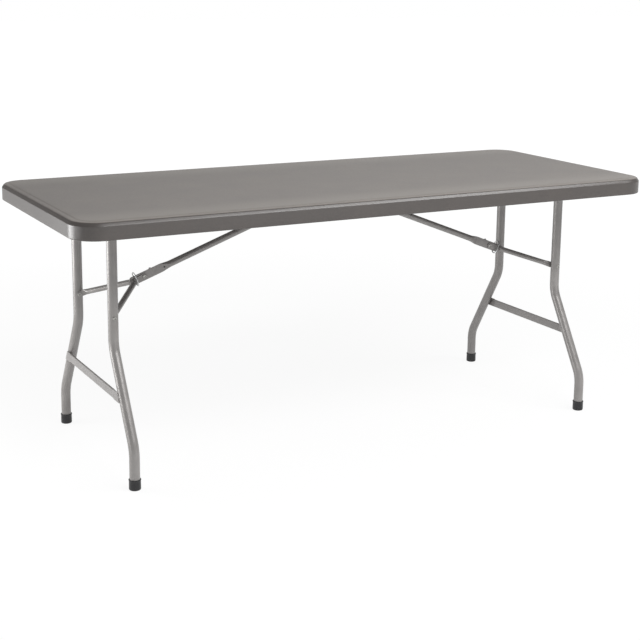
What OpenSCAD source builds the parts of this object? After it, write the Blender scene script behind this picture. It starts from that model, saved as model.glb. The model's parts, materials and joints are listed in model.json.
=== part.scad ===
// Folding banquet table: a double-walled moulded top on two wishbone leg
// frames that fold flat under it. Each frame is held by a jointed Y brace
// with a sliding lock ring.
//
// Frame: origin on the floor under the middle of the top, X along the length,
// Y across the width, Z up. The right-hand end (+X) is modelled, and the
// left-hand end is the same hardware turned half a turn about Z.

/* [Top] */
// Length of the top
table_l = 1829; // [1500:1:2440]
// Width of the top
table_w = 762; // [610:1:915]
// Height of the top surface above the floor
table_h = 749.3; // [560:0.1:750]
// Depth of the rim
rim_h = 48.5; // [44:0.5:60]
// Thickness of the hollow rim, from outer wall to inner wall
rim_t = 25; // [18:0.5:32]
// Thickness of the hollow deck inside the rim
deck_t = 18; // [15:0.5:24]
// Wall of the moulding
skin_t = 2.6; // [2:0.1:4]
// Plan radius of the corners
corner_r = 75; // [55:1:120]
// Height of the sloping edge, from the border to the upright wall
edge_fall = 11; // [9:0.5:12]
// Slope of that edge, in degrees
edge_slope = 55; // [45:1:60]
// Radius between the border and the sloping edge
edge_r = 8; // [5:0.5:10]
// Radius of the brow between the sloping edge and the upright wall
brow_r = 3; // [1:0.5:5]
// Radius of the bottom edge of the rim
foot_edge_r = 3; // [1:0.5:5]
// Width of the smooth border around the textured field
border_w = 27; // [20:1:40]
// Height of the field above the border
field_step = 1.2; // [0.6:0.1:2.5]
// Width of the shoulder between border and field
shoulder_w = 4; // [2:0.5:8]

/* [Tack-offs under the deck] */
// Spacing of the tack-offs along the length
tack_pitch_x = 96; // [70:1:130]
// Spacing of the tack-offs across the width
tack_pitch_y = 84; // [60:1:110]
// Radius of a tack-off at its mouth
tack_mouth_r = 19; // [12:0.5:24]
// Radius of a tack-off at its floor
tack_floor_r = 11; // [6:0.5:14]

/* [Leg frames] */
// Distance from the end of the top to the plane of the legs
leg_inset = 167.5; // [120:0.5:230]
// Radius of the leg tube
leg_r = 14.3; // [11:0.1:17]
// Wall of the leg tube
leg_wall = 1.2; // [0.9:0.1:2.5]
// Half the distance between the upper, upright legs
leg_y = 152.4; // [120:0.1:200]
// Height of the upper bend above the floor
bend_top_z = 359; // [330:1:380]
// Height of the lower bend above the floor
bend_low_z = 110.5; // [80:0.5:150]
// Centreline radius of both bends
bend_r = 90; // [60:1:110]
// Radius of the pivot tube that joins the leg tops
pivot_r = 12.7; // [10:0.1:14]
// Wall of the pivot tube
pivot_wall = 1.6; // [1:0.1:2.5]
// Clearance between the deck and the folded feet
stow_gap = 1.1; // [1:0.1:3]
// Radius of the journals at the ends of the pivot tube
journal_r = 7; // [5:0.5:8]
// Height of the cross bar above the floor
bar_z = 237; // [190:0.5:260]
// Height of the cross bar section
bar_h = 25.4; // [18:0.1:32]
// Thickness of the cross bar section
bar_t = 6.4; // [5:0.1:7]

/* [Feet] */
// Wall of the foot cap
cap_wall = 2; // [1.5:0.1:3]
// Height of the foot cap
cap_h = 30; // [20:1:45]
// Thickness of the cap under the tube
cap_floor = 4; // [3:0.5:8]
// How far the lip stands out at the top of the cap
cap_lip = 0.6; // [0.3:0.1:1.2]
// Clearance between the swinging feet and the rails
foot_gap = 13.1; // [8:0.1:30]

/* [Deck frame] */
// Steel left under the bushings in the side rails
rail_edge = 3.4; // [3:0.2:5]
// Width of the side rails
rail_w = 22; // [18:1:28]
// Thickness of the sheet steel
sheet_t = 1.5; // [1:0.1:2]
// Gap between a rail and the inner wall of the rim
rail_gap = 4; // [2:0.5:10]
// How far the rails run past the leg pivots
rail_past = 50; // [30:1:100]
// Half width of the centre cross-member over its flanges
hat_half = 28; // [24:1:30]
// Half width of the raised middle of the cross-member
hat_mid = 18; // [14:0.5:18]
// Depth of the cross-member
hat_h = 8; // [6:0.5:9]

/* [Y braces] */
// Gap between the cross-member and the ends of the upper arms
arm_gap = 1; // [1:0.5:10]
// Radius of the upper arm tube
upper_r = 9.5; // [8:0.5:10]
// Radius of the lower arm tubes
lower_r = 8; // [6:0.5:9]
// Wall of the arm tubes
arm_wall = 1.2; // [0.9:0.1:2]
// Width of the flattened lower end of the upper arm
plate_w = 26; // [20:1:28]
// Thickness of the flattened end of the upper arm
plate_t = 3; // [2:0.1:4]
// How far the flattened end runs past the lock ring
tail_past_ring = 18; // [14:0.5:24]
// How far the flattened end runs back from the joint
plate_back = 52; // [42:1:110]
// Length of the pressed transition behind the flattened end
plate_loft = 34; // [16:1:60]
// Width of the flattened ends of the lower arms
eye_w = 18; // [14:1:20]
// Thickness of the flattened ends of the lower arms
eye_t = 2.6; // [2:0.1:3.5]
// How far the flattened ends of the lower arms run past the ring
flat_past_ring = 2.25; // [1.5:0.25:5]
// Height of the lower arm rivets above the floor
rivet_z = 440; // [400:1:480]
// Radius of the brace pins and rivets
pin_r = 4; // [3:0.1:5]
// Height of the left mid joint over the straight line between its pivots
left_lift = 12; // [-6:0.5:14]
// Height of the right mid joint over the straight line between its pivots
right_lift = -5; // [-6:0.5:14]

/* [Lock ring] */
// Radius of the ring wire
wire_r = 1.75; // [1.2:0.05:2.2]
// Play of the ring beside the tube of the upper arm
ring_play = 1; // [0.8:0.1:3]
// Room between the ring and the edges of the flattened end
ring_room = 5.5; // [5:0.5:9]
// Distance of the locked ring past the joint
ring_s = 26; // [20:0.5:28]

/* [Fits] */
// Radial clearance of a running pin or journal
run_fit = 0.08; // [0.03:0.01:0.1]
// Clearance between sliding flat faces
side_fit = 0.2; // [0.1:0.05:0.5]
// Clearance between a lower arm and the leg it swings past
leg_fit = 0.3; // [0.3:0.1:1]

/* [Hidden] */
$fn = 48;
// How far the sections of one solid reach into each other, and how much
// narrower the one inside is.
seat = 0.1;
hair = 0.1;

moulding = "#6d6966";
powder_coat = "#9b9995";
zinc = "#c9ccd0";
black_nylon = "#2a2a2c";

// Levels.
deck_z = table_h - deck_t;
rim_z = table_h - rim_h;
border_z = table_h - field_step;
slope_l = (edge_fall - edge_r * (1 - cos(edge_slope)) - brow_r * cos(edge_slope)) / sin(edge_slope);
curve_inset = brow_r * (1 - sin(edge_slope)) + slope_l * cos(edge_slope) + edge_r * sin(edge_slope);
cap_r = leg_r + cap_wall;
pivot_drop = cap_r + cap_lip + stow_gap;
pivot_z = deck_z - pivot_drop;
leg_x = table_l / 2 - leg_inset;

// Rails stand inside the rim, and the feet swing between them.
rail_y = table_w / 2 - rim_t - rail_gap - rail_w;
rail_half = leg_x + rail_past;
foot_y = rail_y - cap_r - cap_lip - foot_gap;

// Wishbone legs: two equal bends with a slanted stretch between them.
slant = atan((foot_y - leg_y) / (bend_top_z - bend_low_z));
bend_t = bend_r * tan(slant / 2);
slant_l = norm([foot_y - leg_y, bend_top_z - bend_low_z]) - 2 * bend_t;
leg_top_z = pivot_z - 1;
bar_y = leg_y + (bend_top_z - bar_z) * tan(slant);
bar_flat_t = 3.2;
bar_flat_l = 28;
bar_press_l = 10;
bar_corner_r = 2.2;
bar_wall = 1;
bar_spread = 1;

// Pivot tube, its journals and the nylon bushings in the rails.
bush_flange_t = 2;
bush_wall = 1.6;
bush_r = journal_r + bush_wall;
bush_flange_r = bush_r + 2.4;
bush_past = 3.5;
rail_h = pivot_drop + bush_r + rail_edge;
plug_l = 20;
clip_gap = 0.4;
clip_w = 3.5;
pivot_end_y = rail_y - bush_flange_t - 0.5;
clip_y = rail_y + sheet_t + bush_past + clip_gap;
clip_t = 1.2;
journal_end_y = clip_y + clip_t + 2.4;

// Brace linkage. Standing, the mid joint lies a little above or below the
// straight line from the deck pivot to the leg rivet. Folded, the arms double
// back along the deck. Both together fix the lengths of the arms.
arm_eye_r = 12;
arm_pivot_x = hat_mid + arm_eye_r + arm_gap;
crank = pivot_z - rivet_z;
reach = norm([leg_x - arm_pivot_x, crank]);
fold_reach = leg_x - crank - arm_pivot_x;
line_slope = atan(crank / (leg_x - arm_pivot_x));
function arms(lift) = reach * sqrt(1 + 4 * lift ^ 2 / (reach ^ 2 - fold_reach ^ 2));
function upper_l(lift) = (arms(lift) + fold_reach) / 2;
function lower_l(lift) = (arms(lift) - fold_reach) / 2;
function upper_slope(lift) = line_slope - asin(lift / upper_l(lift));
function lower_slope(lift) = line_slope + asin(lift / lower_l(lift));

// Layers of the mid joint, measured outwards from the plane of the brace.
eye_y = plate_t / 2 + side_fit;
eye_out_y = eye_y + eye_t;
leg_eye_y = leg_y - leg_r - leg_fit - eye_t;
head_y = eye_out_y + side_fit;
leg_eye_flat = 12;
ear_y = plate_t / 2 + side_fit;
ear_t = 2.2;
bracket_t = 2;
bracket_w = 40;
ear_r = 11;
arm_eye_flat = 26;
loft_l = 20;
eye_loft = 14;
plate_end_r = 8;
stop_s = 24;
peep_s = plate_back + 13;
peep_r = 2.75;
ring_rise = 2;
ring_w = 2 * (upper_r + ring_play);
ring_h = plate_w + 2 * ring_room;
plate_tail = ring_s + tail_past_ring;
stop_r = 4;

// The lower arms lean out from flats beside the joint. Where they lean far,
// the flats run on until the round tubes clear the ring.
eye_flat_min = ring_s + wire_r + flat_past_ring;
function lean_from(flat, lift) =
    atan2(leg_eye_y - eye_y, lower_l(lift) - leg_eye_flat - flat);
function push(lean) = max(0, (lower_r + hair) * sin(lean) - eye_loft * cos(lean));
function eye_flat(lift) =
    eye_flat_min + push(lean_from(eye_flat_min + push(lean_from(eye_flat_min, lift)), lift));

// Feet.
cap_lip_h = 3;
cap_round_r = 3.5;

// Fasteners.
head_r = 5.5;
head_h = 2.4;
leg_rivet_r = 3.2;
screw_r = 2.2;
screw_head_r = 4.5;
screw_head_h = 2.4;
screw_l = 11;
boss_r = 7;
rail_screw_y = rail_y + rail_w - 8;
rail_screw_n = 7;
rail_screw_end = 25;
rail_screw_step = 2 * (rail_half - rail_screw_end) / (rail_screw_n - 1);
hat_screw_x = (hat_half + hat_mid) / 2;
hat_screw_share = [0.3, 0.82];

SIDES = [-1, 1];

// ---------------------------------------------------------------- helpers

// Places the right-hand hardware at the left-hand end.
module left_end() { rotate([0, 0, 180]) children(); }

// Turns a drawing in X and Y so that it stands in Y and Z.
module upright() { rotate([90, 0, 90]) children(); }

// Turns a drawing in X and Y so that it stands in X and Z, centred on Y = 0.
module across(t) {
    rotate([90, 0, 0]) translate([0, 0, -t / 2]) linear_extrude(t) children();
}

// Cylinder along Y from y0 to y1.
module y_rod(r, y0, y1) {
    translate([0, y0, 0]) rotate([-90, 0, 0]) cylinder(r = r, h = y1 - y0);
}

// Plan of a plate with rounded corners, drawn inside the outline of the top.
module plan(inset, r) {
    l = table_l - 2 * inset;
    w = table_w - 2 * inset;
    square([l - 2 * r, w], center = true);
    square([l, w - 2 * r], center = true);
    for (sx = SIDES, sy = SIDES)
        translate([sx * (l / 2 - r), sy * (w / 2 - r)]) circle(r);
}

module slab(inset, z0, z1) {
    translate([0, 0, z0]) linear_extrude(z1 - z0) plan(inset, corner_r - inset);
}

// Domed head of a rivet or screw, standing on Z = 0.
module dome(r, h) {
    ball = (r * r + h * h) / (2 * h);
    rotate_extrude() intersection() {
        translate([0, h - ball]) circle(ball);
        square([r + 1, h + 1]);
    }
}

// ---------------------------------------------------------------- top

// Section of the edge, from the centre of a corner outwards: raised field,
// shoulder, smooth border, rounded edge, upright wall.
module edge_section() {
    h = border_z - rim_z;
    r = corner_r;
    way = [sin(edge_slope), cos(edge_slope)];
    centre = [r - curve_inset, h - edge_r];
    brow = [r - brow_r, h - edge_fall];
    polygon([
        [0, 0], [r - foot_edge_r, 0], [r, foot_edge_r], [r, brow[1]], brow + brow_r * way,
        centre + edge_r * way, [centre[0], h], [r - border_w + shoulder_w, h],
        [r - border_w, h + field_step], [0, h + field_step]
    ]);
    translate(centre) intersection() {
        circle(edge_r);
        polygon([[0, 0], [0, 2 * edge_r], 2 * edge_r * way]);
    }
    translate(brow) circle(brow_r);
    translate([r - foot_edge_r, foot_edge_r]) circle(foot_edge_r);
}

module top_outside() {
    cx = table_l / 2 - corner_r;
    cy = table_w / 2 - corner_r;
    translate([0, 0, rim_z]) {
        translate([-cx, -cy, 0]) cube([2 * cx, 2 * cy, rim_h]);
        for (side = SIDES) {
            rotate([0, 0, 90 + side * 90]) translate([cx, cy, 0])
                rotate([90, 0, 0]) linear_extrude(2 * cy) edge_section();
            rotate([0, 0, side * 90]) translate([cy, cx, 0])
                rotate([90, 0, 0]) linear_extrude(2 * cx) edge_section();
            translate([cx, side * cy, 0]) rotate([0, 0, side * 45 - 45])
                rotate_extrude(angle = 90) edge_section();
            translate([-cx, side * cy, 0]) rotate([0, 0, 135 - side * 45])
                rotate_extrude(angle = 90) edge_section();
        }
    }
}

// Where the tack-offs stand: a grid between the rails that leaves the
// cross-member bare.
tack_first_x = hat_half + tack_mouth_r + 17;
tack_end = 40;
tack_nx = floor((table_l / 2 - rim_t - tack_end - tack_first_x) / tack_pitch_x);
tack_ny = floor((rail_y - tack_mouth_r - 1 - tack_pitch_y / 2) / tack_pitch_y);

module each_tack() {
    for (sx = SIDES, sy = SIDES, i = [0:tack_nx], j = [0:tack_ny])
        translate([sx * (tack_first_x + i * tack_pitch_x), sy * (j + 0.5) * tack_pitch_y, 0])
            children();
}

// A cone that rises from the deck's underside, grown all round by a wall.
module tack_cone(grow) {
    rise = deck_t - 2 * skin_t - field_step - 0.4;
    lean = (tack_mouth_r - tack_floor_r) / rise;
    translate([0, 0, deck_z - 1])
        cylinder(r1 = tack_mouth_r + lean + grow, r2 = tack_floor_r + grow, h = rise + 1 + grow);
}

module each_screw() {
    for (i = [0:rail_screw_n - 1], sy = SIDES)
        translate([(i - (rail_screw_n - 1) / 2) * rail_screw_step, sy * rail_screw_y, deck_z])
            children();
    for (sx = SIDES, sy = SIDES, share = hat_screw_share)
        translate([sx * hat_screw_x, sy * share * rail_y, deck_z]) children();
}

// Whole tenths of a millimetre, on the side that keeps the wall its thickness.
function tenths_up(x) = ceil(10 * x) / 10;
function tenths_down(x) = floor(10 * x) / 10;

// Corners of the hollow under the sloping edge, as (inset, height): a wall's
// thickness inside its upper radius, then down along the slope.
function under_curve(a) = [
    curve_inset - (edge_r - skin_t) * sin(a),
    border_z - edge_r + (edge_r - skin_t) * cos(a)
];
hollow_steps = concat(
    [for (a = [0:edge_slope / 2:edge_slope]) under_curve(a)],
    [for (share = [0.5, 1])
        under_curve(edge_slope) - share * slope_l * [cos(edge_slope), sin(edge_slope)]]
);

// The hollow inside the two walls of the moulding. It climbs in steps under
// the sloping edge.
module cavity() {
    difference() {
        for (step = hollow_steps)
            slab(tenths_up(step[0]), rim_z + skin_t, tenths_down(step[1]));
        slab(rim_t - skin_t, rim_z - 1, deck_z + skin_t);
        each_tack() tack_cone(skin_t);
        each_screw() cylinder(r = boss_r, h = deck_t);
    }
}

module tabletop() {
    color(moulding) difference() {
        top_outside();
        slab(rim_t, rim_z - 1, deck_z);
        each_tack() tack_cone(0);
        cavity();
        each_screw() translate([0, 0, -1]) cylinder(r = screw_r, h = screw_l + 1, $fn = 16);
    }
}

// ---------------------------------------------------------------- deck frame

module rail(side) {
    color(powder_coat) difference() {
        translate([-rail_half, 0, deck_z - rail_h]) rotate([90, 0, 90])
            linear_extrude(2 * rail_half) {
                y = side > 0 ? rail_y : -rail_y - sheet_t;
                f = side > 0 ? rail_y : -rail_y - rail_w;
                translate([y, 0]) square([sheet_t, rail_h]);
                translate([f, 0]) square([rail_w, sheet_t]);
                translate([f, rail_h - sheet_t]) square([rail_w, sheet_t]);
            }
        for (sx = SIDES) translate([sx * leg_x, side * (rail_y + sheet_t / 2), pivot_z])
            y_rod(bush_r, -sheet_t, sheet_t);
        each_screw() translate([0, 0, -sheet_t - 1])
            cylinder(r = screw_r, h = sheet_t + 2, $fn = 16);
    }
}

module centre_crossmember() {
    color(powder_coat) difference() {
        translate([0, rail_y, deck_z - hat_h]) rotate([90, 0, 0]) linear_extrude(2 * rail_y) {
            translate([-hat_mid, 0]) square([2 * hat_mid, sheet_t]);
            for (s = SIDES) {
                translate([s * (hat_mid - sheet_t / 2) - sheet_t / 2, 0]) square([sheet_t, hat_h]);
                translate([s > 0 ? hat_mid - sheet_t : -hat_half, hat_h - sheet_t])
                    square([hat_half - hat_mid + sheet_t, sheet_t]);
            }
        }
        each_screw() translate([0, 0, -sheet_t - 1])
            cylinder(r = screw_r, h = sheet_t + 2, $fn = 16);
    }
}

module deck_screws() {
    color(zinc) each_screw() {
        translate([0, 0, -sheet_t]) rotate([180, 0, 0]) dome(screw_head_r, screw_head_h);
        translate([0, 0, -sheet_t]) cylinder(r = screw_r, h = sheet_t + screw_l, $fn = 16);
    }
}

module rail_bushings() {
    color(black_nylon)
        for (sx = SIDES, turn = [0, 180]) translate([sx * leg_x, 0, pivot_z]) rotate([0, 0, turn])
            difference() {
                union() {
                    y_rod(bush_flange_r, rail_y - bush_flange_t, rail_y);
                    y_rod(bush_r, rail_y - bush_flange_t, rail_y + sheet_t + bush_past);
                }
                y_rod(journal_r + run_fit, rail_y - 10, rail_y + 20);
            }
}

// Plate under the cross-member with two ears that carry both brace pivots.
module brace_bracket() {
    plate_z = deck_z - hat_h - bracket_t;
    color(powder_coat) difference() {
        union() {
            translate([-hat_mid, -bracket_w / 2, plate_z]) cube([2 * hat_mid, bracket_w, bracket_t]);
            for (s = SIDES) translate([0, s * (ear_y + ear_t / 2), pivot_z]) across(ear_t) {
                translate([-arm_pivot_x, -ear_r]) square([2 * arm_pivot_x, plate_z - pivot_z + ear_r]);
                for (sx = SIDES) translate([sx * arm_pivot_x, 0]) circle(ear_r);
            }
        }
        for (sx = SIDES) translate([sx * arm_pivot_x, 0, pivot_z]) y_rod(pin_r, -30, 30);
    }
}

module brace_pins() {
    out = ear_y + ear_t;
    color(zinc) for (sx = SIDES) translate([sx * arm_pivot_x, 0, pivot_z]) {
        y_rod(pin_r, -out, out);
        for (s = SIDES) translate([0, s * out, 0]) rotate([-s * 90, 0, 0]) dome(head_r, head_h);
    }
}

// ---------------------------------------------------------------- leg frame

module pivot_tube() {
    color(powder_coat) translate([leg_x, 0, pivot_z]) difference() {
        y_rod(pivot_r, -pivot_end_y, pivot_end_y);
        y_rod(pivot_r - pivot_wall, -pivot_end_y - 1, pivot_end_y + 1);
    }
}

// Turned plugs pressed into the ends of the pivot tube.
module journals() {
    color(zinc) translate([leg_x, 0, pivot_z]) for (turn = [0, 180]) rotate([0, 0, turn]) {
        y_rod(pivot_r - pivot_wall, pivot_end_y - plug_l, pivot_end_y);
        y_rod(journal_r, pivot_end_y - 1, journal_end_y);
    }
}

module retaining_clips() {
    color(zinc) translate([leg_x, 0, pivot_z]) for (turn = [0, 180]) rotate([0, 0, turn])
        difference() {
            y_rod(journal_r + clip_w, clip_y, clip_y + clip_t);
            y_rod(journal_r, clip_y - 1, clip_y + clip_t + 1);
        }
}

// Bent tube of a leg, drawn with its own Y as height. The bends are a hair
// fatter than the straights, which end inside them.
module leg_path(r, over) {
    dir = [sin(slant), -cos(slant)];
    start = [leg_y, bend_top_z] + (bend_t - seat) * dir;
    translate([leg_y, bend_top_z + bend_t - seat, 0]) rotate([-90, 0, 0])
        cylinder(r = r, h = leg_top_z - bend_top_z - bend_t + seat + over);
    translate([leg_y + bend_r, bend_top_z + bend_t, 0]) rotate([0, 0, 180])
        rotate_extrude(angle = slant) translate([bend_r, 0]) circle(r + hair);
    translate([start[0], start[1], 0]) rotate([0, 0, slant]) rotate([90, 0, 0])
        cylinder(r = r, h = slant_l + 2 * seat);
    translate([foot_y - bend_r, bend_low_z - bend_t, 0])
        rotate_extrude(angle = slant) translate([bend_r, 0]) circle(r + hair);
    translate([foot_y, cap_floor - over, 0]) rotate([-90, 0, 0])
        cylinder(r = r, h = bend_low_z - bend_t - cap_floor + over + seat);
}

module leg() {
    color(powder_coat) translate([leg_x, 0, 0]) difference() {
        upright() leg_path(leg_r, 0);
        upright() leg_path(leg_r - leg_wall, 1);
        translate([0, 0, pivot_z]) y_rod(pivot_r, 0, 2 * leg_y);
        translate([0, 0, rivet_z]) y_rod(leg_rivet_r, 0, 2 * leg_y);
    }
}

// Section of the cross bar: a rounded rectangle whose outer face is flush with
// its pressed ends, X outwards from the legs.
module bar_section(inset) {
    r = bar_corner_r - inset;
    t = bar_t - 2 * inset;
    h = bar_h - 2 * inset;
    translate([bar_flat_t - bar_t + inset, -h / 2]) {
        translate([r, 0]) square([t - 2 * r, h]);
        translate([0, r]) square([t, h - 2 * r]);
        for (x = [r, t - r], y = [r, h - r]) translate([x, y]) circle(r);
    }
}

// The bar's ends lie on the outer faces of both legs, pressed flat and cut off
// along the slant of the legs.
module cross_bar() {
    flat_y = bar_y - bar_flat_l;
    round_y = flat_y - bar_press_l;
    half = bar_h / 2 + bar_spread;
    color(powder_coat) translate([leg_x + leg_r, 0, bar_z]) {
        rotate([90, 0, 0]) translate([0, 0, -round_y]) linear_extrude(2 * round_y) difference() {
            bar_section(0);
            bar_section(bar_wall);
        }
        for (s = SIDES) mirror([0, s > 0 ? 0 : 1, 0]) {
            hull() {
                translate([0, round_y, 0]) rotate([90, 0, 0]) linear_extrude(seat) bar_section(hair);
                translate([hair, flat_y, hair - half])
                    cube([bar_flat_t - 2 * hair, seat, 2 * (half - hair)]);
            }
            rotate([90, 0, 90]) linear_extrude(bar_flat_t) polygon([
                [flat_y, -half], [flat_y, half],
                [bar_y - half * tan(slant), half], [bar_y + half * tan(slant), -half]
            ]);
        }
    }
}

module foot_cap() {
    color(black_nylon) translate([leg_x, foot_y, 0]) rotate_extrude() difference() {
        union() {
            square([cap_r - cap_round_r, cap_h]);
            translate([0, cap_round_r]) square([cap_r, cap_h - cap_round_r]);
            translate([cap_r - cap_round_r, cap_round_r]) circle(cap_round_r);
            translate([0, cap_h - cap_lip_h]) square([cap_r + cap_lip, cap_lip_h]);
        }
        translate([0, cap_floor]) square([leg_r, cap_h]);
        translate([-cap_r, 0]) square([cap_r, cap_h]);
    }
}

// Rivets that pass through the legs: a domed head outside, the shank ending
// flush with the inner side, where the eye of the lower arm turns.
module leg_rivets() {
    color(zinc) translate([leg_x, 0, rivet_z]) for (turn = [0, 180]) rotate([0, 0, turn]) {
        y_rod(leg_rivet_r, leg_y - leg_r, leg_y + leg_r);
        translate([0, leg_y + leg_r, 0]) rotate([-90, 0, 0]) dome(head_r, head_h);
    }
}

// ---------------------------------------------------------------- Y brace

// Frame of the upper arm: origin at the mid joint, X along the arm towards the
// leg, Z square to it.
module at_joint(lift) {
    translate([arm_pivot_x, 0, pivot_z]) rotate([0, upper_slope(lift), 0])
        translate([upper_l(lift), 0, 0]) children();
}

// The same for the lower arms, which slope a little differently.
module on_lower(lift) {
    at_joint(lift) rotate([0, lower_slope(lift) - upper_slope(lift), 0]) children();
}

module x_rod(r, x0, x1) {
    translate([x0, 0, 0]) rotate([0, 90, 0]) cylinder(r = r, h = x1 - x0);
}

// Slice inside the end of a flat bar, where a pressed transition starts.
module flat_end(t, w) {
    translate([0, hair - t / 2, hair - w / 2]) cube([seat, t - 2 * hair, w - 2 * hair]);
}

module upper_arm(lift) {
    upper_l = upper_l(lift);
    tube_0 = -upper_l + arm_eye_flat + loft_l;
    tube_1 = -plate_back - plate_loft;
    color(powder_coat) at_joint(lift) difference() {
        union() {
            difference() {
                x_rod(upper_r, tube_0 - seat, tube_1 + seat);
                x_rod(upper_r - arm_wall, tube_0 - 1, tube_1 + 1);
            }
            // Pressed transitions from round tube to flat ends.
            hull() {
                x_rod(upper_r + hair, tube_1, tube_1 + seat, $fn = 32);
                translate([-plate_back, 0, 0]) flat_end(plate_t, plate_w);
            }
            hull() {
                x_rod(upper_r + hair, tube_0 - seat, tube_0, $fn = 32);
                translate([tube_0 - loft_l - seat, 0, 0]) flat_end(plate_t, 2 * arm_eye_r);
            }
            across(plate_t) {
                w = plate_w / 2;
                r = plate_end_r;
                translate([-plate_back, -w]) square([plate_back + plate_tail - r, plate_w]);
                translate([0, r - w]) square([plate_tail, plate_w - 2 * r]);
                for (z = [r - w, w - r]) translate([plate_tail - r, z]) circle(r);
                translate([-stop_s, w - 1]) circle(stop_r);
                translate([-upper_l, 0]) circle(arm_eye_r);
                translate([-upper_l, -arm_eye_r]) square([arm_eye_flat, 2 * arm_eye_r]);
            }
        }
        y_rod(pin_r, -plate_t, plate_t);
        translate([-upper_l, 0, 0]) y_rod(pin_r + run_fit, -plate_t, plate_t);
        translate([-peep_s, 0, 0]) y_rod(peep_r, 0, upper_r);
    }
}

module joint_rivet(lift) {
    color(zinc) at_joint(lift) {
        y_rod(pin_r, -head_y, head_y);
        for (s = SIDES) translate([0, s * head_y, 0]) rotate([-s * 90, 0, 0]) dome(head_r, head_h);
    }
}

// Lower arm on the +Y side: a flat eye beside the joint, a tube that runs out
// to the leg, and a flat eye inside the leg.
module lower_arm(lift) {
    lower_l = lower_l(lift);
    eye_flat = eye_flat(lift);
    a = [eye_flat, eye_y + eye_t / 2];
    b = [lower_l - leg_eye_flat, leg_eye_y + eye_t / 2];
    lean = atan2(b[1] - a[1], b[0] - a[0]);
    span = norm(b - a);
    color(powder_coat) on_lower(lift) difference() {
        union() {
            translate([0, a[1], 0]) across(eye_t) {
                circle(eye_w / 2);
                translate([0, -eye_w / 2]) square([eye_flat, eye_w]);
            }
            translate([lower_l, b[1], 0]) across(eye_t) {
                circle(eye_w / 2);
                translate([-leg_eye_flat, -eye_w / 2]) square([leg_eye_flat, eye_w]);
            }
            hull() {
                translate([a[0] - seat, a[1], 0]) flat_end(eye_t, eye_w);
                translate([a[0], a[1], 0]) rotate([0, 0, lean])
                    x_rod(lower_r + hair, eye_loft - seat, eye_loft, $fn = 32);
            }
            hull() {
                translate([b[0], b[1], 0]) flat_end(eye_t, eye_w);
                translate([a[0], a[1], 0]) rotate([0, 0, lean])
                    x_rod(lower_r + hair, span - eye_loft, span - eye_loft + seat, $fn = 32);
            }
            translate([a[0], a[1], 0]) rotate([0, 0, lean]) difference() {
                x_rod(lower_r, eye_loft - seat, span - eye_loft + seat);
                x_rod(lower_r - arm_wall, eye_loft - 1, span - eye_loft + 1);
            }
        }
        y_rod(pin_r + run_fit, 0, 2 * eye_out_y);
        translate([lower_l, 0, 0]) y_rod(leg_rivet_r, leg_eye_y - 1, leg_eye_y + eye_t + 1);
    }
}

// Inner ends of the leg rivets, clenched in the outer eyes of the lower arms.
module arm_end_rivets(lift) {
    color(zinc) on_lower(lift) translate([lower_l(lift), 0, 0])
        for (turn = [0, 180]) rotate([turn, 0, 0]) {
            y_rod(leg_rivet_r, leg_eye_y, leg_eye_y + eye_t);
            translate([0, leg_eye_y, 0]) rotate([90, 0, 0]) dome(head_r, head_h);
        }
}

// Oval wire ring around the flat ends of all three arms.
module lock_ring(lift) {
    bow_r = ring_w / 2 + wire_r;
    half = ring_h / 2 + wire_r - bow_r;
    color(zinc) at_joint(lift) translate([ring_s, 0, ring_rise]) upright() for (s = SIDES)
        mirror([0, s > 0 ? 0 : 1, 0]) {
            translate([0, half, 0]) rotate_extrude(angle = 180) translate([bow_r, 0]) circle(wire_r);
            for (x = [-bow_r, bow_r]) translate([x, 0, 0]) rotate([-90, 0, 0])
                cylinder(r = wire_r, h = half);
        }
}

// The parts of each pair that lie on the -Y side.
module other_side() { mirror([0, 1, 0]) children(); }

// ---------------------------------------------------------------- nodes

tabletop();
rail(-1);  // front_rail
rail(1);  // back_rail
centre_crossmember();
deck_screws();
rail_bushings();
brace_bracket();
brace_pins();

left_end() pivot_tube();  // left_pivot_tube
left_end() journals();  // left_journals
left_end() retaining_clips();  // left_retaining_clips
left_end() leg();  // left_leg_front
left_end() other_side() leg();  // left_leg_back
left_end() cross_bar();  // left_cross_bar
left_end() foot_cap();  // left_foot_cap_front
left_end() other_side() foot_cap();  // left_foot_cap_back
left_end() leg_rivets();  // left_leg_rivets
left_end() upper_arm(left_lift);  // left_upper_arm
left_end() joint_rivet(left_lift);  // left_joint_rivet
left_end() lower_arm(left_lift);  // left_lower_arm_front
left_end() other_side() lower_arm(left_lift);  // left_lower_arm_back
left_end() arm_end_rivets(left_lift);  // left_arm_end_rivets
left_end() lock_ring(left_lift);  // left_lock_ring

pivot_tube();  // right_pivot_tube
journals();  // right_journals
retaining_clips();  // right_retaining_clips
other_side() leg();  // right_leg_front
leg();  // right_leg_back
cross_bar();  // right_cross_bar
other_side() foot_cap();  // right_foot_cap_front
foot_cap();  // right_foot_cap_back
leg_rivets();  // right_leg_rivets
upper_arm(right_lift);  // right_upper_arm
joint_rivet(right_lift);  // right_joint_rivet
other_side() lower_arm(right_lift);  // right_lower_arm_front
lower_arm(right_lift);  // right_lower_arm_back
arm_end_rivets(right_lift);  // right_arm_end_rivets
lock_ring(right_lift);  // right_lock_ring
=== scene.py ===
import json
from collections import namedtuple
from math import atan2, cos, degrees, hypot, pi, radians, sin, tan

import bmesh
import bpy
import numpy as np
from mathutils import Matrix, Vector


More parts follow.
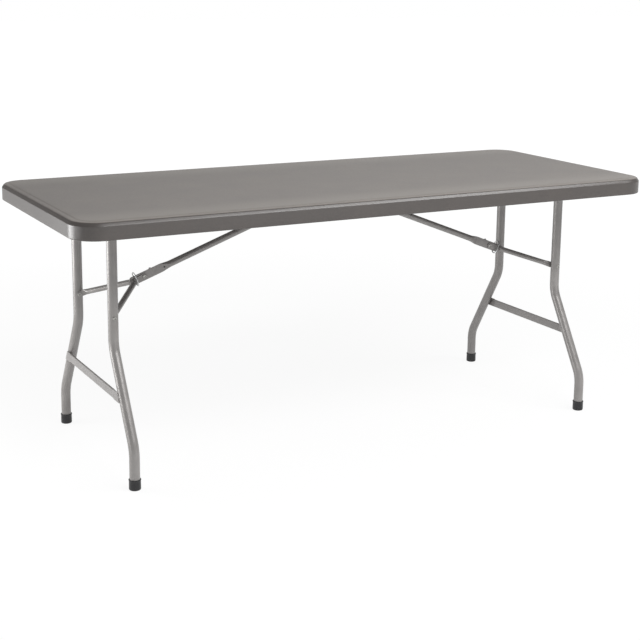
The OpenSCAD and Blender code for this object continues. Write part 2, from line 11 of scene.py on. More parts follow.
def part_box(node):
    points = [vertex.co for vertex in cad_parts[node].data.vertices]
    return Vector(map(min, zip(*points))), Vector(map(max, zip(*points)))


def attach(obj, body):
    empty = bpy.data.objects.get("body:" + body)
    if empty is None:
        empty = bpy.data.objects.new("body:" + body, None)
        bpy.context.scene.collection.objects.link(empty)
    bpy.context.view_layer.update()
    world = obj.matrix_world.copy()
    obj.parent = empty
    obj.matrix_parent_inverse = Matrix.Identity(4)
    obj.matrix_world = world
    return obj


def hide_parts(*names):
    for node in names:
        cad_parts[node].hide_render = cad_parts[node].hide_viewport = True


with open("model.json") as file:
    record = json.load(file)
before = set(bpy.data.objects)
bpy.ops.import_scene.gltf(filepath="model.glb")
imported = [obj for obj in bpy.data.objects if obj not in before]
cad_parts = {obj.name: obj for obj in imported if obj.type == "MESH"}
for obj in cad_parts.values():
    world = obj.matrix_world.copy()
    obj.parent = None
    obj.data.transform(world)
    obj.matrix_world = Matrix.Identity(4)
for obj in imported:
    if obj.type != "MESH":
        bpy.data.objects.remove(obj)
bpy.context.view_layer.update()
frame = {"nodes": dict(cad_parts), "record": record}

# Folding banquet table. Sizes below are in millimetres, in the frame of the
# CAD model: X along the length, Y across the width, Z up from the floor.

MM = 0.001


def cad(node):
    """Lowest and highest corner of a CAD node, in millimetres."""
    low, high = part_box(node)
    return np.array(low) / MM, np.array(high) / MM


# ------------------------------------------------------------------ sizes

top_low, top_high = cad("tabletop")
half_l, half_w, field_z = top_high
rim_z = top_low[2]
rim_t = 25.0
rim_inner_r = 3.0
deck_t = 18.0
deck_z = field_z - deck_t
deck_fillet = 6.0
field_step = 1.2
border_z = field_z - field_step
corner_r = 75.0
edge_fall, edge_slope, edge_r, brow_r = 11.0, radians(55.0), 8.0, 3.0
slope_l = (edge_fall - edge_r * (1 - cos(edge_slope))
           - brow_r * cos(edge_slope)) / sin(edge_slope)
curve_inset = (brow_r * (1 - sin(edge_slope)) + slope_l * cos(edge_slope)
               + edge_r * sin(edge_slope))
foot_edge_r = 3.0
border_w = 27.0
shoulder_w = 8.0
grain_z = border_z - 1.2

# Tack-offs, where the deck's underside is pressed up to the top skin: how many
# on a quarter of the table, along it and across it, and how far apart.
tack_count = (9, 4)
tack_pitch = (96.0, 84.0)
tack_first_x = 64.0
tack_rise = 11.2
# From the edge of the table to the last grid line of the deck.
deck_margin = (46.5, 53.0)
# The grid's corner, spread over the round corner of the plan: how far from the
# corner that starts, and the share of it that is still on the straight side.
corner_reach, straight_share = 84.0, 0.45

tube_low, tube_high = cad("right_pivot_tube")
leg_x = (tube_low[0] + tube_high[0]) / 2
pivot_z = (tube_low[2] + tube_high[2]) / 2
pivot_r = (tube_high[2] - tube_low[2]) / 2
pivot_half = tube_high[1]
pivot_wall = 1.6

cap_low, cap_high = cad("right_foot_cap_back")
foot_y = (cap_low[1] + cap_high[1]) / 2
cap_lip_r = (cap_high[0] - cap_low[0]) / 2
cap_lip = 0.6
cap_r = cap_lip_r - cap_lip
cap_h = cap_high[2]
cap_floor_r = 3.4
leg_r = 14.3
leg_y = cad("right_leg_back")[0][1] + leg_r
# The leg's tube ends here in its cap, and reaches this far into the pivot tube.
leg_low_z, leg_bite = 4.2, 0.6
bend_top_z, bend_low_z, bend_r = 359.0, 110.5, 90.0
slant = atan2(foot_y - leg_y, bend_top_z - bend_low_z)
bend_t = bend_r * tan(slant / 2)

rivet_low, rivet_high = cad("right_leg_rivets")
rivet_z = (rivet_low[2] + rivet_high[2]) / 2
# The rivet's dimple: depth, radius, and how far up and down it is drawn.
dimple_deep, dimple_r, dimple_half = 0.9, 7.0, 12.0
bar_low, bar_high = cad("right_cross_bar")
bar_z = (bar_low[2] + bar_high[2]) / 2
bar_half_h, bar_spread, bar_t, bar_flat_t = 12.7, 1.0, 6.4, 3.2
bar_corner_r, bar_flat_corner_r = 2.4, 0.8
bar_flat_l, bar_press_l = 28.0, 10.0
bar_face_x = bar_high[0]
bar_y = leg_y + (bend_top_z - bar_z) * tan(slant)
saddle_weld_r, bar_weld_r, weld_ripple, ripple_share = 1.9, 1.5, 3.2, 0.10
weld_sink = 0.2

# Arms: sizes that end in _s lie along the arm, from the mid joint.
upper_r, lower_r = 9.5, 8.0
plate_w, plate_t, plate_tail, plate_back, plate_loft = 26.0, 3.0, 44.0, 52.0, 34.0
plate_tail_r, plate_corner_r = 8.0, 0.9
stop_s, stop_r, stop_sink, peep_s, peep_r = -24.0, 4.0, 1.0, -65.0, 2.75
arm_eye_r, arm_eye_flat, arm_loft = 12.0, 26.0, 20.0
eye_w, eye_t, eye_flat, eye_loft, leg_eye_flat = 18.0, 2.6, 30.0, 20.0, 12.0
eye_corner_r, path_cut = 0.8, 7.0
side_fit, leg_fit = 0.2, 0.3
eye_mid_y = plate_t / 2 + side_fit + eye_t / 2
leg_eye_mid_y = leg_y - leg_r - leg_fit - eye_t / 2
joint_head_y = eye_mid_y + eye_t / 2 + side_fit
wire_r, ring_half_w, ring_half_h, ring_s, ring_rise = 1.75, 12.25, 20.25, 26.0, 2.0
head_r, head_h, head_bore, head_dish, shank_r = 5.4, 1.7, 2.3, 0.4, 4.0
# From the face that a rivet's head sits on to the height where its roll starts.
joint_head_lift, leg_head_lift = 0.7, -0.3

# Arms of one end: lengths, slopes and the mid joint, turned to the right end.
Brace = namedtuple("Brace", "upper_l upper_slope lower_l lower_slope mid")


def brace(side):
    """Arm lengths and slopes from the places of the record's hinges."""
    at = {j["name"]: np.abs(j["pos_m"]) / MM for j in frame["record"]["behaviour"]["joints"]
          if j["type"] == "hinge"}
    mid = at[f"{side}_brace_joint"]
    upper = mid - at[f"{side}_upper_brace_pivot"]
    lower = np.array([leg_x, 0, rivet_z]) - mid
    return Brace(hypot(upper[0], upper[2]), atan2(-upper[2], upper[0]),
                 hypot(lower[0], lower[2]), atan2(-lower[2], lower[0]), mid)


# ------------------------------------------------------------------ camera

camera_at = Vector((-1.895, -3.479, 1.366))
camera_yaw, camera_pitch, camera_roll = radians(28.16), radians(11.75), radians(0.61)
camera_lens_mm, camera_sensor_mm, camera_shift = 74.64, 36, -0.1153


def add_camera():
    """Camera with its axes worked out from yaw, pitch and roll."""
    ahead = Vector((sin(camera_yaw) * cos(camera_pitch),
                    cos(camera_yaw) * cos(camera_pitch), -sin(camera_pitch)))
    right = Vector((cos(camera_yaw), -sin(camera_yaw), 0))
    up = right.cross(ahead)
    x = right * cos(camera_roll) + up * sin(camera_roll)
    y = up * cos(camera_roll) - right * sin(camera_roll)
    data = bpy.data.cameras.new("camera")
    data.lens = camera_lens_mm
    data.sensor_width = camera_sensor_mm
    data.shift_y = camera_shift
    data.clip_start, data.clip_end = 0.1, 60
    camera = bpy.data.objects.new("camera", data)
    turn = Matrix((x, y, -ahead)).transposed().to_4x4()
    camera.matrix_world = Matrix.Translation(camera_at) @ turn
    bpy.context.scene.collection.objects.link(camera)
    bpy.context.scene.camera = camera


add_camera()
bpy.context.scene.view_settings.view_transform = "Standard"

# ------------------------------------------------------------------ materials


def linear(hex_colour):
    """sRGB hex value to linear RGBA."""
    s = np.array([int(hex_colour[i:i + 2], 16) for i in (1, 3, 5)]) / 255
    rgb = np.where(s <= 0.04045, s / 12.92, ((s + 0.055) / 1.055) ** 2.4)
    return (*map(float, rgb), 1.0)


def add(tree, kind, settings=None, **sockets):
    """Adds one node with its settings. A socket is named with _ for each space,
    or _0, _1 and so on by its place, and takes a value or a node's output."""
    made = tree.nodes.new(kind)
    for name, value in (settings or {}).items():
        setattr(made, name, value)
    for name, value in sockets.items():
        place = name[1:]
        socket = made.inputs[int(place) if place.isdigit() else name.replace("_", " ")]
        if isinstance(value, bpy.types.NodeSocket):
            tree.links.new(value, socket)
        else:
            socket.default_value = value
    return made


def new_material(name):
    """An empty node material with its output."""
    material = bpy.data.materials.new(name)
    material.use_nodes = True
    material.node_tree.nodes.clear()
    return material, material.node_tree


def polyethylene():
    """Blow-moulded polyethylene: pigmented through, waxy and half matt. The
    mould is smooth on sides and underside and has a fine pebble grain on top."""
    material, tree = new_material("blow_moulded_polyethylene")
    place = add(tree, "ShaderNodeTexCoord").outputs["Object"]
    axes = add(tree, "ShaderNodeSeparateXYZ", _0=place).outputs
    grained = add(tree, "ShaderNodeMath", {"operation": "GREATER_THAN"},
                  _0=axes["Z"], _1=grain_z * MM).outputs[0]
    # Pebbles of 2.5 mm, drawn a little coarser than the real grain of 1.5 mm.
    pebbles = add(tree, "ShaderNodeTexVoronoi", {"feature": "SMOOTH_F1"}, Vector=place,
                  Scale=400.0, Smoothness=0.6).outputs["Distance"]
    grain = add(tree, "ShaderNodeMath", {"operation": "MULTIPLY"}, _0=pebbles,
                _1=grained).outputs[0]
    # Slow waves of the cooling skin, about 60 mm apart.
    waves = add(tree, "ShaderNodeTexNoise", Vector=place, Scale=16.0, Detail=2.0,
                Roughness=0.4).outputs["Fac"]
    wavy = add(tree, "ShaderNodeBump", Strength=0.05, Distance=0.004,
               Height=waves).outputs["Normal"]
    # Blasted skin of the mould, about 1 mm.
    fine = add(tree, "ShaderNodeTexNoise", Vector=place, Scale=900.0, Detail=2.0).outputs["Fac"]
    matt = add(tree, "ShaderNodeBump", Strength=0.10, Distance=0.0002, Height=fine,
               Normal=wavy).outputs["Normal"]
    bumpy = add(tree, "ShaderNodeBump", Strength=0.35, Distance=0.0005, Height=grain,
                Normal=matt).outputs["Normal"]
    # Clouds in the pigment, about 110 mm across.
    mottle = add(tree, "ShaderNodeTexNoise", Vector=place, Scale=9.0, Detail=5.0,
                 Roughness=0.62).outputs["Fac"]
    # Painted glints: pebbles that catch the light, painted into the colour at 6 mm, as the real
    # ones are too fine to show.
    painted_glints = add(tree, "ShaderNodeTexNoise", Vector=place, Scale=160.0, Detail=2.0).outputs["Fac"]
    mixed = add(tree, "ShaderNodeMath", {"operation": "MULTIPLY_ADD"}, _0=painted_glints, _1=0.6,
                _2=mottle).outputs[0]
    # The pigment's clouds and the painted glints together, which colour the whole skin.
    clouds_and_glints = add(tree, "ShaderNodeMapRange", Value=mixed, From_Min=0.6, From_Max=1.0,
                 To_Min=0.0, To_Max=1.0).outputs[0]
    smooth = add(tree, "ShaderNodeMix", {"data_type": "RGBA"}, _0=clouds_and_glints,
                 _6=linear("#54504e"), _7=linear("#5a5552")).outputs["Result"]
    # Painted sheen: the grained top is painted lighter than the smooth skin, standing in for the
    # light that its grain sends back.
    pebbled_with_sheen = add(tree, "ShaderNodeMix", {"data_type": "RGBA"}, _0=clouds_and_glints,
                  _6=linear("#7a7470"), _7=linear("#86807b")).outputs["Result"]
    # Painted light: the grain is painted paler along the two long sides, standing in for the
    # light that the top catches near its edges.
    off_middle = add(tree, "ShaderNodeMath", {"operation": "ABSOLUTE"}, _0=axes["Y"]).outputs[0]
    painted_edge_light = add(tree, "ShaderNodeMapRange", {"interpolation_type": "SMOOTHSTEP"},
                 Value=off_middle, From_Min=0.22, From_Max=0.34, To_Min=0.0,
                 To_Max=0.6).outputs[0]
    pebbled_with_sheen = add(tree, "ShaderNodeMix", {"data_type": "RGBA"}, _0=painted_edge_light, _6=pebbled_with_sheen,
                  _7=linear("#948e88")).outputs["Result"]
    colour = add(tree, "ShaderNodeMix", {"data_type": "RGBA"}, _0=grained, _6=smooth,
                 _7=pebbled_with_sheen).outputs["Result"]
    rough = add(tree, "ShaderNodeMapRange", Value=mottle, From_Min=0.3, From_Max=0.7,
                To_Min=0.29, To_Max=0.33).outputs[0]
    rougher = add(tree, "ShaderNodeMath", {"operation": "MULTIPLY_ADD"}, _0=grained, _1=0.12,
                  _2=rough).outputs[0]
    shader = add(tree, "ShaderNodeBsdfPrincipled", Base_Color=colour, Roughness=rougher,
                 IOR=1.51, Normal=bumpy)
    add(tree, "ShaderNodeOutputMaterial", Surface=shader.outputs[0])
    return material


def powder_coat():
    """Polyester powder coat baked on steel tube: silver grey, half gloss, with
    the slight orange peel of a melted powder."""
    material, tree = new_material("powder_coated_steel")
    place = add(tree, "ShaderNodeTexCoord").outputs["Object"]
    # Orange peel, drawn at 6 mm where the real one is 2 mm, which is too fine to show.
    peel = add(tree, "ShaderNodeTexNoise", Vector=place, Scale=160.0, Detail=1.0).outputs["Fac"]
    bumpy = add(tree, "ShaderNodeBump", Strength=0.10, Distance=0.00005,
                Height=peel).outputs["Normal"]
    # The film is thicker and thinner over some 45 mm.
    film = add(tree, "ShaderNodeTexNoise", Vector=place, Scale=22.0, Detail=2.0).outputs["Fac"]
    thick = add(tree, "ShaderNodeMapRange", Value=film, From_Min=0.3, From_Max=0.7,
                To_Min=0.0, To_Max=1.0).outputs[0]
    colour = add(tree, "ShaderNodeMix", {"data_type": "RGBA"}, _0=thick,
                 _6=linear("#93908e"), _7=linear("#9d9a98")).outputs["Result"]
    rough = add(tree, "ShaderNodeMapRange", Value=film, From_Min=0.3, From_Max=0.7,
                To_Min=0.29, To_Max=0.34).outputs[0]
    shader = add(tree, "ShaderNodeBsdfPrincipled", Base_Color=colour, Roughness=rough,
                 Metallic=0.2, IOR=1.5, Normal=bumpy)
    add(tree, "ShaderNodeOutputMaterial", Surface=shader.outputs[0])
    return material


def zinc(name, colours, smoothest):
    """Zinc plate on drawn or riveted steel, faintly clouded by its passivation."""
    material, tree = new_material(name)
    place = add(tree, "ShaderNodeTexCoord").outputs["Object"]
    # Passivation in clouds of about 6 mm.
    cloud = add(tree, "ShaderNodeTexNoise", Vector=place, Scale=160.0, Detail=4.0).outputs["Fac"]
    clouded = add(tree, "ShaderNodeMapRange", Value=cloud, From_Min=0.35, From_Max=0.65,
                  To_Min=0.0, To_Max=1.0).outputs[0]
    colour = add(tree, "ShaderNodeMix", {"data_type": "RGBA"}, _0=clouded,
                 _6=linear(colours[0]), _7=linear(colours[1])).outputs["Result"]
    rough = add(tree, "ShaderNodeMapRange", Value=cloud, From_Min=0.3, From_Max=0.7,
                To_Min=smoothest, To_Max=smoothest + 0.14).outputs[0]
    shader = add(tree, "ShaderNodeBsdfPrincipled", Base_Color=colour, Roughness=rough,
                 Metallic=1.0)
    add(tree, "ShaderNodeOutputMaterial", Surface=shader.outputs[0])
    return material


def nylon():
    """Injection-moulded black nylon: satin, spark-eroded mould finish, dusted
    grey with scuffs near the floor."""
    material, tree = new_material("moulded_black_nylon")
    place = add(tree, "ShaderNodeTexCoord").outputs["Object"]
    height = add(tree, "ShaderNodeSeparateXYZ", _0=place).outputs["Z"]
    low = add(tree, "ShaderNodeMapRange", Value=height, From_Min=0.0, From_Max=0.008,
              To_Min=0.5, To_Max=0.0).outputs[0]
    # Dust caught in scuffs of about 3 mm, over the lowest 8 mm.
    scuffs = add(tree, "ShaderNodeTexNoise", Vector=place, Scale=300.0, Detail=6.0,
                 Roughness=0.7).outputs["Fac"]
    worn = add(tree, "ShaderNodeMath", {"operation": "MULTIPLY"}, _0=low, _1=scuffs).outputs[0]
    dusty = add(tree, "ShaderNodeMapRange", Value=worn, From_Min=0.1, From_Max=0.4,
                To_Min=0.0, To_Max=1.0).outputs[0]
    colour = add(tree, "ShaderNodeMix", {"data_type": "RGBA"}, _0=dusty,
                 _6=linear("#1f1f21"), _7=linear("#3a3836")).outputs["Result"]
    # Eroded grain of about 0.5 mm.
    grain = add(tree, "ShaderNodeTexNoise", Vector=place, Scale=1800.0, Detail=2.0).outputs["Fac"]
    bumpy = add(tree, "ShaderNodeBump", Strength=0.15, Distance=0.0002,
                Height=grain).outputs["Normal"]
    shader = add(tree, "ShaderNodeBsdfPrincipled", Base_Color=colour, Roughness=0.42, IOR=1.53,
                 Normal=bumpy)
    add(tree, "ShaderNodeOutputMaterial", Surface=shader.outputs[0])
    return material


PLASTIC, PAINT, NYLON = polyethylene(), powder_coat(), nylon()
PLATE = zinc("bright_zinc_plate", ("#b9bcc0", "#d3d3d0"), 0.20)
DULL_PLATE = zinc("dulled_zinc_plate", ("#aeada9", "#c0bfbb"), 0.30)
FINISH = {"moulded_top": PLASTIC, "powder_coat": PAINT, "zinc": PLATE, "black_plastic": NYLON}

# ------------------------------------------------------------------ surfaces

SHARP = radians(32)  # edges that turn more than this are not shaded smooth


def turns(count):
    """Angles of a closed ring, half a step off the axes."""
    return (np.arange(count) + 0.5) / count * 2 * pi


def ease(f):
    """Share from 0 to 1 that starts and stops slowly: 3 f^2 - 2 f^3."""
    return f * f * (3 - 2 * f)


def unit(v):
    """Directions of length 1."""
    return v / np.linalg.norm(v, axis=1, keepdims=True)


def half_chord(r, x):
    """Half width of a circle of radius r at x from its middle, at least 0.2."""
    return np.sqrt(np.maximum(r ** 2 - x ** 2, 0.04))


def rounded(a, b, r, count):
    """Section of a bar or tube: a rectangle 2a by 2b whose corners have radius
    r, so that a = b = r is a circle. Each may change from station to station."""
    a, b, r = (np.atleast_1d(v)[:, None] for v in (a, b, r))
    t = turns(count)[None, :]
    x = np.sign(np.cos(t)) * (a - r) + r * np.cos(t)
    y = np.sign(np.sin(t)) * (b - r) + r * np.sin(t)
    return np.stack([x, y], axis=-1)


def swept(path, across, section):
    """A section carried along a flat path: its first coordinate runs along the
    fixed direction across, its second square to both across and the path."""
    up = np.cross(unit(np.gradient(path, axis=0)), across)
    return path[:, None] + section[..., :1] * across + section[..., 1:] * up[:, None]


def lathed(profile, count, upright=False):
    """A profile of (radius, height) turned about Y, or about Z if upright."""
    radius, height = np.asarray(profile, float).T
    t = turns(count)[None, :]
    x, y = radius[:, None] * np.cos(t), radius[:, None] * np.sin(t)
    z = height[:, None] + 0 * t
    return np.stack((x, y, z) if upright else (x, z, y), axis=-1)


def circles(first, second, count):
    """Circles of radius 1 in the planes of two directions, one per station."""
    t = turns(count)[:, None]
    return first[..., None, :] * np.cos(t) + second[..., None, :] * np.sin(t)


def arc(centre, r, start, stop, count):
    """Points on an arc, from start to stop in degrees."""
    t = np.radians(np.linspace(start, stop, count))
    return np.stack([centre[0] + r * np.cos(t), centre[1] + r * np.sin(t)], axis=-1)


def shell(points, closed=False):
    """Vertices and arrays of faces of a grid of points whose columns close into
    rings. The ends are capped with flat faces unless the rows close as well."""
    rows, ring = points.shape[:2]
    i = np.arange(rows if closed else rows - 1)[:, None]
    j = np.arange(ring)[None, :]
    k, n = (i + 1) % rows, (j + 1) % ring
    quads = np.stack([i * ring + j, i * ring + n, k * ring + n, k * ring + j], axis=-1)
    faces = [quads.reshape(-1, 4)]
    if not closed:
        faces += [np.arange(ring)[None, ::-1], np.arange((rows - 1) * ring, rows * ring)[None]]
    return points.reshape(-1, 3), faces


def new_mesh(name, shells):
    """A mesh from closed shells in millimetres: doubles merged, faces turned
    outwards."""
    mesh = bpy.data.meshes.new(name)
    count, points, faces = 0, [], []
    for vertices, groups in shells:
        points.append(vertices)
        for group in groups:
            faces += (group + count).tolist()
        count += len(vertices)
    mesh.from_pydata((np.concatenate(points) * MM).tolist(), [], faces)
    mesh.validate()
    work = bmesh.new()
    work.from_mesh(mesh)
    bmesh.ops.remove_doubles(work, verts=work.verts, dist=2e-6)
    bmesh.ops.dissolve_degenerate(work, edges=work.edges, dist=1e-6)
    bmesh.ops.recalc_face_normals(work, faces=work.faces)
    work.to_mesh(mesh)
    work.free()
    return mesh


def piece(name, shells, material, body, stands_for=()):
    """One object from closed shells, smooth between sharp edges, which rides on
    a body and may stand for CAD nodes."""
    mesh = new_mesh(name, shells)
    mesh.shade_smooth()
    mesh.set_sharp_from_angle(angle=SHARP)
    mesh.materials.append(material)
    made = bpy.data.objects.new(name, mesh)
    bpy.context.scene.collection.objects.link(made)
    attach(made, body)
    if stands_for:
        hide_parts(*stands_for)
    return made


def bore(made, hole):
    """Cuts a closed shell out of a piece, and drops the cutter."""
    cutter = bpy.data.objects.new("cutter", new_mesh("cutter", [hole]))
    bpy.context.scene.collection.objects.link(cutter)
    cut = made.modifiers.new("bore", "BOOLEAN")
    cut.operation, cut.solver, cut.object = "DIFFERENCE", "EXACT", cutter
    bpy.context.view_layer.update()
    result = made.evaluated_get(bpy.context.evaluated_depsgraph_get())
    made.data = bpy.data.meshes.new_from_object(result)
    made.modifiers.clear()
    bpy.data.objects.remove(cutter)
    made.data.set_sharp_from_angle(angle=SHARP)


# ------------------------------------------------------------------ moulded top

CELL = 12  # grid steps across a tack-off
# Radius and drop below its floor of each ring of a tack-off, from the middle out.
TACK_RINGS = np.array([[0.0, 0.0], [5.5, 0.0], [10.0, 0.25], [12.3, 1.9], [16.9, 8.4],
                       [19.6, 10.9]])


def tack_lines(pitch, count, first, last, strip):
    """Grid lines across the deck in one direction: (tack centre, step from it,
    plain place). Where strip isn't 0, that many steps without tack-offs lie
    between the two halves, which mirror each other."""
    centres = first + pitch * np.arange(count)
    limits = np.concatenate([centres - pitch / 2, [last]])
    step = np.arange(CELL + 1) - CELL // 2
    low, high = limits[:-1, None] - centres[:, None], limits[1:, None] - centres[:, None]
    plain = centres[:, None] + np.where(step < 0, -low, high) * step / (CELL / 2)
    lines = np.stack([centres[:, None] + 0 * plain, step + 0 * plain, plain], axis=-1)
    lines = np.concatenate([lines[0], *lines[1:, 1:]])
    mirrored = -lines[::-1]
    middle = np.empty((0, 3))
    if strip:
        x = np.linspace(-limits[0], limits[0], strip + 1)[1:-1]
        middle = np.stack([x, np.full_like(x, CELL // 2), x], axis=-1)
    else:
        lines = lines[1:]
    return np.concatenate([mirrored, middle, lines])


def deck_underside():
    """The deck seen from below: a grid in which every square of lines round a
    tack-off's middle becomes a circle, raised into the moulding ring by ring."""
    last_x, last_y = half_l - deck_margin[0], half_w - deck_margin[1]
    x = tack_lines(tack_pitch[0], tack_count[0], tack_first_x, last_x, strip=4)[:, None, :]
    y = tack_lines(tack_pitch[1], tack_count[1], tack_pitch[1] / 2, last_y, strip=0)[None, :, :]
    p, q = x[..., 1] + 0 * y[..., 1], y[..., 1] + 0 * x[..., 1]
    ring = np.maximum(abs(p), abs(q)).astype(int)
    safe = np.maximum(ring, 1)
    a, b = p / safe, q / safe
    wide = abs(p) >= abs(q)
    t = np.where(wide, b * np.sign(a) * pi / 4, pi / 2 - a * np.sign(b) * pi / 4)
    flip = np.where(wide, np.sign(a), np.sign(b))
    inside = ring < CELL // 2
    table = TACK_RINGS[np.minimum(ring, CELL // 2 - 1)]
    px = np.where(inside, x[..., 0] + table[..., 0] * flip * np.cos(t), x[..., 2] + 0 * q)
    py = np.where(inside, y[..., 0] + table[..., 0] * flip * np.sin(t), y[..., 2] + 0 * p)
    pz = np.where(inside, deck_z + tack_rise - table[..., 1], deck_z)
    return np.stack([px, py, pz], axis=-1)


def edges(grid):
    """The four sides of a grid, one after the other round it."""
    return grid[:-1, 0], grid[-1, :-1], grid[:0:-1, -1], grid[0, :0:-1]


def outline(grid):
    """For each vertex round the grid's edge, its partner on the plan of the top:
    the centre that it is set off from, and the direction outwards. Each side
    runs straight, then swings through an eighth of a turn at each of its ends."""
    centre = np.array([half_l, half_w]) - corner_r
    found = []
    for edge, along, sign in zip(edges(grid), (0, 1, 0, 1), (-1, 1, 1, -1)):
        v, limit = edge[:, along], centre[along]
        far = abs(v).max()
        knee = far - corner_reach
        f = np.clip((abs(v) - knee) / (far - knee), 0, 1)
        straight = knee + (limit - knee) * np.minimum(f / straight_share, 1)
        run = np.where(f > 0, straight, abs(v)) * np.sign(v)
        swing = np.clip((f - straight_share) / (1 - straight_share), 0, 1) * pi / 4 * np.sign(v)
        place = np.stack([run, sign * centre[1 - along] + 0 * v], -1)
        way = np.stack([np.sin(swing), sign * np.cos(swing)], -1)
        order = [along, 1 - along]
        found.append(np.concatenate([place[:, order], way[:, order]], axis=-1))
    return np.concatenate(found)


def moulded_top():
    """The whole skin of the moulding in one closed mesh: the underside's grid,
    then a profile of (inset, height) carried round the plan, and the field."""
    grid = deck_underside()
    rows, cols = grid.shape[:2]
    number = np.arange(rows * cols).reshape(rows, cols)
    deck = np.stack([number[:-1, :-1], number[:-1, 1:], number[1:, 1:], number[1:, :-1]], -1)
    plan = outline(grid)
    rise = np.linspace(0, 1, 7)
    # From the inner foot of the rim round its outside to the field. The single
    # points only divide the flats, and the deck's fillet starts a hair below it.
    shoulder = np.stack([border_w - shoulder_w * (1 - rise),
                         border_z + field_step * (1 - np.cos(rise * pi)) / 2], -1)
    profile = np.concatenate([
        arc((rim_t + deck_fillet, deck_z - deck_fillet), deck_fillet, 90, 180, 6) + [0, -0.001],
        [[rim_t, rim_z + 12.0]],
        arc((rim_t - rim_inner_r, rim_z + rim_inner_r), rim_inner_r, 0, -90, 6),
        [[rim_t / 2, rim_z]],
        arc((foot_edge_r, rim_z + foot_edge_r), foot_edge_r, 270, 180, 6),
        [[0.0, rim_z + 14.0], [0.0, border_z - edge_fall - 4.0]],
        arc((brow_r, border_z - edge_fall), brow_r, 180, 90 + degrees(edge_slope), 7),
        arc((curve_inset, border_z - edge_r), edge_r, 90 + degrees(edge_slope), 90, 10),
        [[curve_inset + 6.0, border_z]],
        shoulder,
        [[border_w + 8.0, field_z]],
    ])
    inset, level = profile[:, 0, None], profile[:, 1, None]
    ring = np.stack([plan[None, :, 0] + (corner_r - inset) * plan[None, :, 2],
                     plan[None, :, 1] + (corner_r - inset) * plan[None, :, 3],
                     level + 0 * plan[None, :, 0]], axis=-1)
    hoops = number.size + np.arange(ring[..., 0].size).reshape(ring.shape[:2])
    hoops = np.concatenate([np.concatenate(edges(number))[None], hoops])
    following = np.roll(hoops, -1, axis=1)
    skirt = np.stack([hoops[:-1], following[:-1], following[1:], hoops[1:]], axis=-1)
    points = np.concatenate([grid.reshape(-1, 3), ring.reshape(-1, 3)])
    faces = [deck.reshape(-1, 4), skirt.reshape(-1, 4), hoops[-1:]]
    return piece("moulded_top", [(points, faces)], PLASTIC, "tabletop", ["tabletop"])


moulded_top()

# ------------------------------------------------------------------ leg frames


def leg_path():
    """Centre line of a leg in its plane, (y, z) from the top down: straight,
    two equal bends, and straight again into the cap."""
    s = degrees(slant)
    beyond = dimple_half + 2
    z = np.linspace(rivet_z + dimple_half, rivet_z - dimple_half, 13)
    z = np.concatenate([[pivot_z - 1.0, rivet_z + beyond], z, [rivet_z - beyond]])
    top = np.stack([np.full_like(z, leg_y), z], -1)
    upper = arc((leg_y + bend_r, bend_top_z + bend_t), bend_r, 180, 180 + s, 9)
    lower = arc((foot_y - bend_r, bend_low_z - bend_t), bend_r, s, 0, 9)
    return np.concatenate([top, upper, lower, [[foot_y, leg_low_z]]])


def under_pivot(x):
    """Height of the pivot tube's underside at x from its axis."""
    return pivot_z - np.sqrt(np.maximum(pivot_r ** 2 - x ** 2, 1.0))


def leg():
    """A round tube along the leg path. Its top is cut to a saddle under the
    pivot tube, and its outer face is pressed in a little round the rivet."""
    flat = leg_path()
    path = np.stack([np.zeros(len(flat)), flat[:, 0], flat[:, 1]], -1)
    points = swept(path, (1, 0, 0), rounded(leg_r, leg_r, leg_r, 40))
    points[0, :, 2] = under_pivot(points[0, :, 0]) + leg_bite
    y, z = points[..., 1] - leg_y, points[..., 2] - rivet_z
    press = dimple_deep * np.exp(-(points[..., 0] ** 2 + z ** 2) / dimple_r ** 2)
    points[..., 1] -= np.where(y > 0, press, 0)
    points[..., 0] += leg_x
    return points


def weld(path, r):
    """Weld bead round a path: a small round section whose radius swells and
    shrinks once for each ripple of the weld pool, and dwindles at both ends."""
    ahead = unit(np.gradient(path, axis=0))
    not_along = (0.31, 0.52, 0.79)
    helper = unit(np.cross(ahead, not_along))
    run = np.concatenate([[0], np.cumsum(np.linalg.norm(np.diff(path, axis=0), axis=1))])
    swell = r * (1 + ripple_share * np.sin(run / weld_ripple * 2 * pi))
    fade = np.sqrt(np.clip(np.minimum(run, run[-1] - run) / r, 0.05, 1))
    ring = circles(helper, np.cross(ahead, helper), 10)
    return path[:, None] + ring * (swell * fade)[:, None, None]


def saddle_welds():
    """Paths of the welds on both sides of the pivot tube where a leg meets it:
    round the leg, as high as the underside of the pivot tube lets them be."""
    t = np.radians(np.linspace(24, 156, 45))
    y, x = leg_y + leg_r * np.cos(t), leg_r * np.sin(t)
    low = under_pivot(np.minimum(x, pivot_r - weld_sink)) - weld_sink
    z = np.where(x < pivot_r, low, pivot_z - 2.0)
    return [np.stack([leg_x + side * x * 0.99, y, z], -1) for side in (-1, 1)]


def cross_bar():
    """A flat-oval tube whose outer face stays flush from end to end: its section
    (thickness, height, corner radius) blends over the pressed stretch into flat
    ends, which are cut along the slant of the legs."""
    flat_y = bar_y - bar_flat_l
    round_y = flat_y - bar_press_l
    f = np.linspace(0, 1, 8)
    y = np.concatenate([[0, round_y * 0.5, round_y - 2], round_y + (flat_y - round_y) * f,
                        [flat_y + 6, bar_y - 2, bar_y]])
    w = np.concatenate([[0, 0, 0], ease(f), [1, 1, 1]])
    a = (bar_t + (bar_flat_t - bar_t) * w) / 2
    high = bar_half_h + bar_spread * w
    section = rounded(a, high, bar_corner_r + (bar_flat_corner_r - bar_corner_r) * w, 48)
    points = np.empty(section.shape[:2] + (3,))
    points[..., 0] = bar_face_x - a[:, None] + section[..., 0]
    points[..., 2] = bar_z + section[..., 1]
    lean = np.clip((y - flat_y) / bar_flat_l, 0, 1)[:, None]
    points[..., 1] = y[:, None] - lean * tan(slant) * section[..., 1]
    mirrored = points[::-1] * [1, -1, 1]
    return np.concatenate([mirrored[:-1], points])


